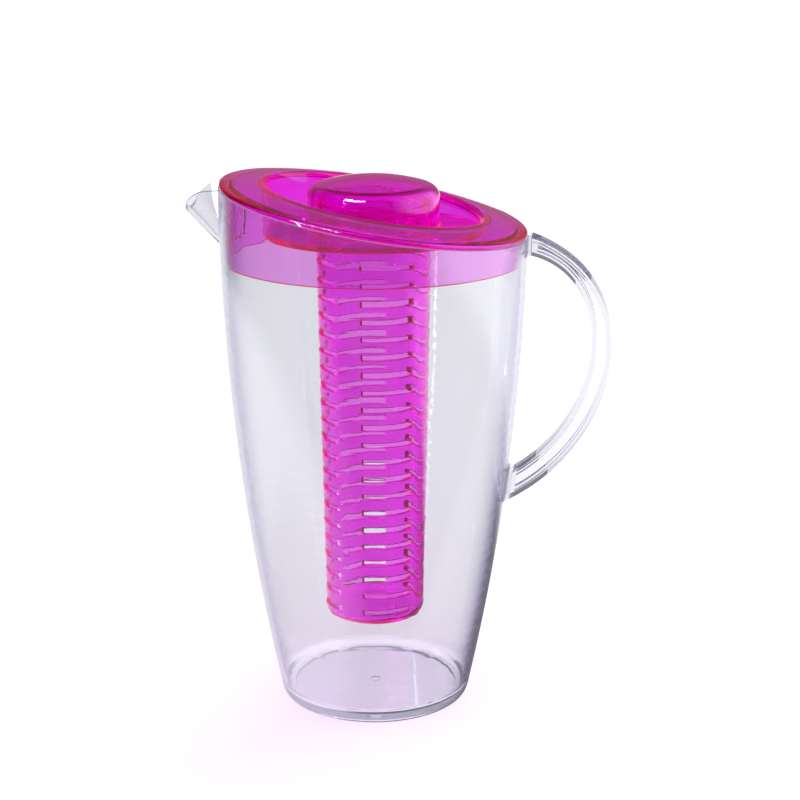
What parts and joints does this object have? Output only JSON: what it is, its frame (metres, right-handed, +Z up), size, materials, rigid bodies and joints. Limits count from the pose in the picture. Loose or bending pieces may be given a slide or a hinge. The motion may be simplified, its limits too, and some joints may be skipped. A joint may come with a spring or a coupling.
{
  "type": "fruit infuser pitcher",
  "caption": "Clear tapered pitcher with a slanted tinted lid, a side handle, a pouring spout and a slotted infuser tube under a domed screw cap.",
  "frame": {"origin": "centre of the base, on the plane of the foot ring", "axes": "+Z up along the jug's axis, +X towards the handle, -X towards the spout"},
  "size_m": [0.1841, 0.1338, 0.2357],
  "materials": {
    "clear_plastic": "clear moulded SAN, polished",
    "tinted_plastic": "transparent magenta moulded SAN, polished"
  },
  "bodies": {
    "jug": {"jug_body": "clear_plastic", "jug_handle": "clear_plastic"},
    "lid": {"lid": "tinted_plastic"},
    "infuser": {"infuser_tube": "tinted_plastic"},
    "cap": {"dome_cap": "tinted_plastic"}
  },
  "joints": [
    {"name": "lid_lift", "type": "slide", "parent": "jug", "child": "lid", "axis": [0, 0, 1], "range_m": [0, 0.2]},
    {"name": "infuser_lift", "type": "slide", "parent": "lid", "child": "infuser", "axis": [0, 0, 1], "range_m": [0, 0.2]},
    {"name": "cap_turn", "type": "hinge", "parent": "infuser", "child": "cap", "pos_m": [0, 0, 0.22], "axis": [0, 0, 1], "range_deg": [0, 90]}
  ]
}
